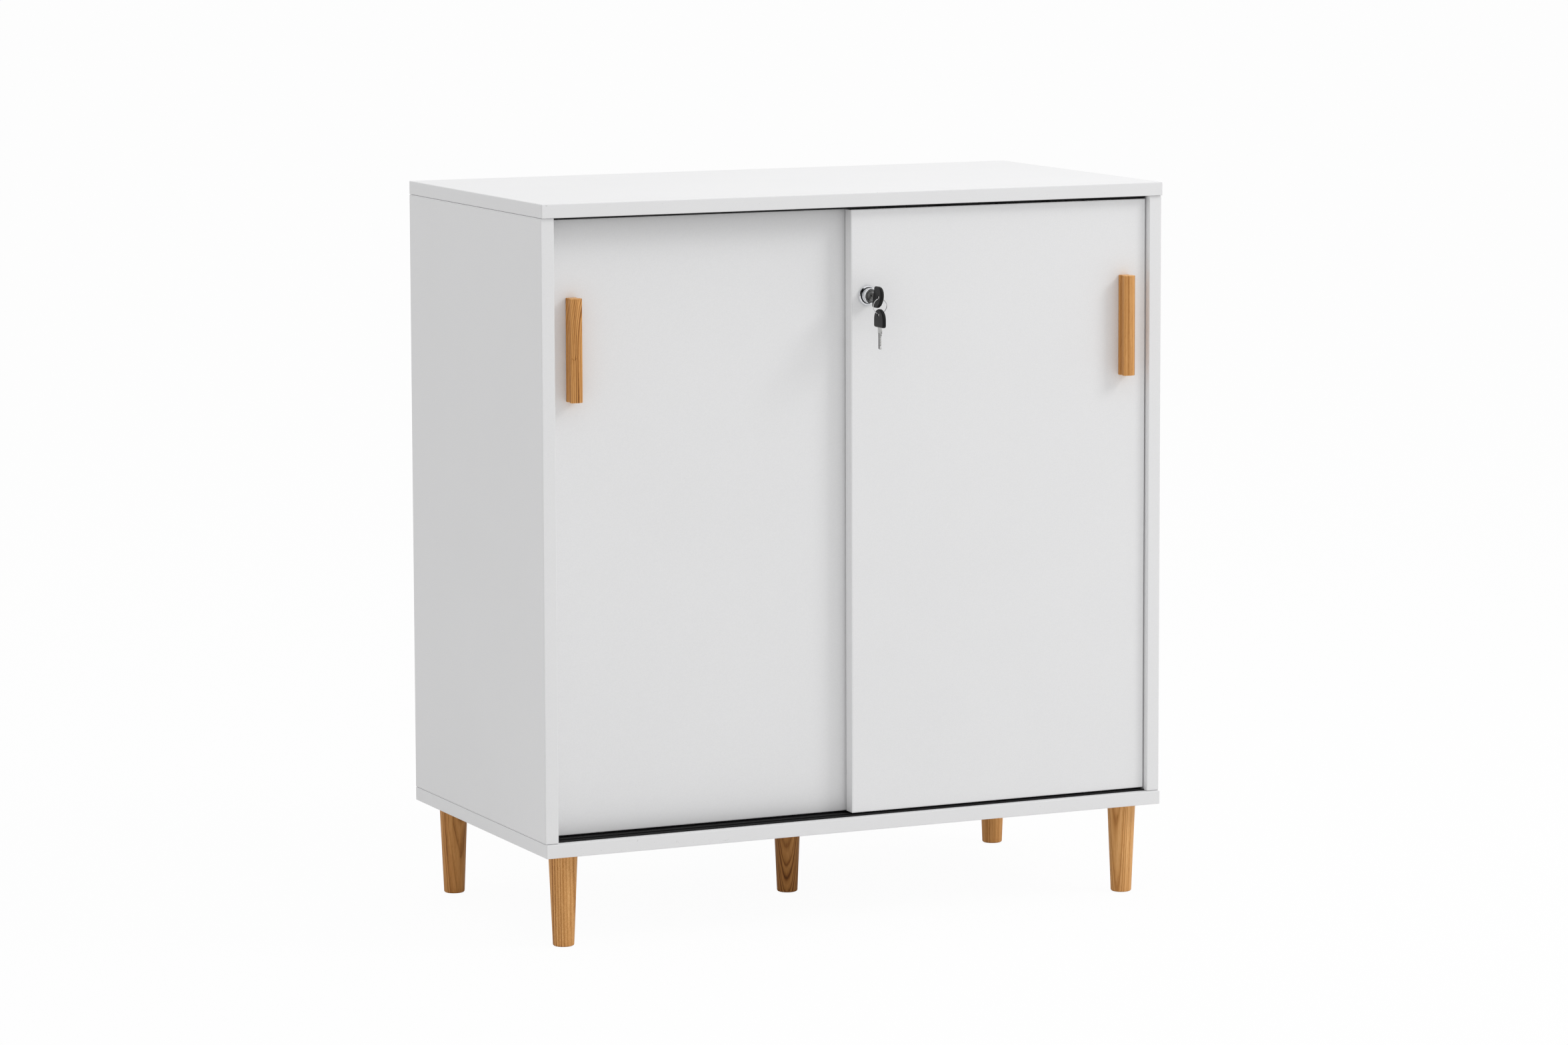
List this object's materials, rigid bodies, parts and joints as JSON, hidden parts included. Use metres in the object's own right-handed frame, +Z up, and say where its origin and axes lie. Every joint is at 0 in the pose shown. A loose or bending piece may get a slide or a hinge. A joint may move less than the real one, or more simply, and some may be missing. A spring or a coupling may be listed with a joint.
{
  "type": "sliding-door office cupboard",
  "caption": "Low white office cupboard with overlapping sliding doors, upright wooden bar handles, a push lock with a key and a spare key, and short round tapered wooden legs.",
  "frame": {"origin": "on the floor under the middle leg, at the centre of the cupboard's width and depth", "axes": "+X to the right along the width, +Y to the back (the doors face -Y), +Z up"},
  "size_m": [0.8, 0.4554, 0.864],
  "materials": {
    "white_board": "white melamine, fine pearl grain, satin",
    "oiled_ash": "golden oiled wood, satin",
    "black_plastic": "black moulded plastic",
    "chrome": "polished",
    "zinc_plated_steel": "bright zinc plate"
  },
  "bodies": {
    "carcass": {"base_panel": "white_board", "top_panel": "white_board", "side_panel_left": "white_board", "side_panel_right": "white_board", "back_panel": "white_board", "centre_partition": "white_board", "shelf_left": "white_board", "shelf_right": "white_board", "shelf_pin_left_1": "zinc_plated_steel", "shelf_pin_left_2": "zinc_plated_steel", "shelf_pin_left_3": "zinc_plated_steel", "shelf_pin_left_4": "zinc_plated_steel", "shelf_pin_right_1": "zinc_plated_steel", "shelf_pin_right_2": "zinc_plated_steel", "shelf_pin_right_3": "zinc_plated_steel", "shelf_pin_right_4": "zinc_plated_steel", "lower_track": "black_plastic", "upper_track": "black_plastic", "leg_front_left": "oiled_ash", "leg_front_right": "oiled_ash", "leg_back_left": "oiled_ash", "leg_back_right": "oiled_ash", "leg_centre": "oiled_ash", "leg_stud_front_left": "zinc_plated_steel", "leg_stud_front_right": "zinc_plated_steel", "leg_stud_back_left": "zinc_plated_steel", "leg_stud_back_right": "zinc_plated_steel", "leg_stud_centre": "zinc_plated_steel"},
    "left_door": {"left_door_panel": "white_board", "handle_left": "oiled_ash", "handle_screw_left_1": "zinc_plated_steel", "handle_screw_left_2": "zinc_plated_steel", "door_glider_left_1": "black_plastic", "door_glider_left_2": "black_plastic", "top_guide_left_1": "black_plastic", "top_guide_left_2": "black_plastic", "lock_keeper": "zinc_plated_steel", "keeper_screw_1": "zinc_plated_steel", "keeper_screw_2": "zinc_plated_steel"},
    "right_door": {"right_door_panel": "white_board", "handle_right": "oiled_ash", "handle_screw_right_1": "zinc_plated_steel", "handle_screw_right_2": "zinc_plated_steel", "door_glider_right_1": "black_plastic", "door_glider_right_2": "black_plastic", "top_guide_right_1": "black_plastic", "top_guide_right_2": "black_plastic", "lock_rosette": "chrome", "lock_housing": "zinc_plated_steel", "lock_screw_1": "zinc_plated_steel", "lock_screw_2": "zinc_plated_steel"},
    "push_barrel": {"lock_barrel": "chrome", "lock_bolt": "zinc_plated_steel"},
    "turning_plug": {"lock_plug": "chrome", "key_blade": "zinc_plated_steel", "key_bow": "black_plastic"},
    "ring": {"key_ring": "zinc_plated_steel"},
    "spare_key": {"spare_key_blade": "zinc_plated_steel", "spare_key_bow": "black_plastic"}
  },
  "joints": [
    {"name": "left_door_slide", "type": "slide", "parent": "carcass", "child": "left_door", "axis": [1, 0, 0], "range_m": [0, 0.335]},
    {"name": "right_door_slide", "type": "slide", "parent": "carcass", "child": "right_door", "axis": [1, 0, 0], "range_m": [-0.335, 0]},
    {"name": "lock_push", "type": "slide", "parent": "right_door", "child": "push_barrel", "axis": [0, 1, 0], "range_m": [0, 0.009], "stiffness_N_per_m": 150, "springref_m": -0.004},
    {"name": "key_turn", "type": "hinge", "parent": "push_barrel", "child": "turning_plug", "pos_m": [0.014, -0.199, 0.743], "axis": [0, 1, 0], "range_deg": [-8, 82]},
    {"name": "ring_swing", "type": "hinge", "parent": "turning_plug", "child": "ring", "pos_m": [0.014, -0.2329, 0.7425], "axis": [-1, 0, 0], "range_deg": [-12, 12]},
    {"name": "spare_key_hang", "type": "hinge", "parent": "ring", "child": "spare_key", "pos_m": [0.014, -0.2329, 0.733], "axis": [0, 1, 0], "range_deg": [-82, 8]}
  ],
  "couplings": [
    {"joint": "spare_key_hang", "follows": "key_turn", "ratio": -1}
  ]
}
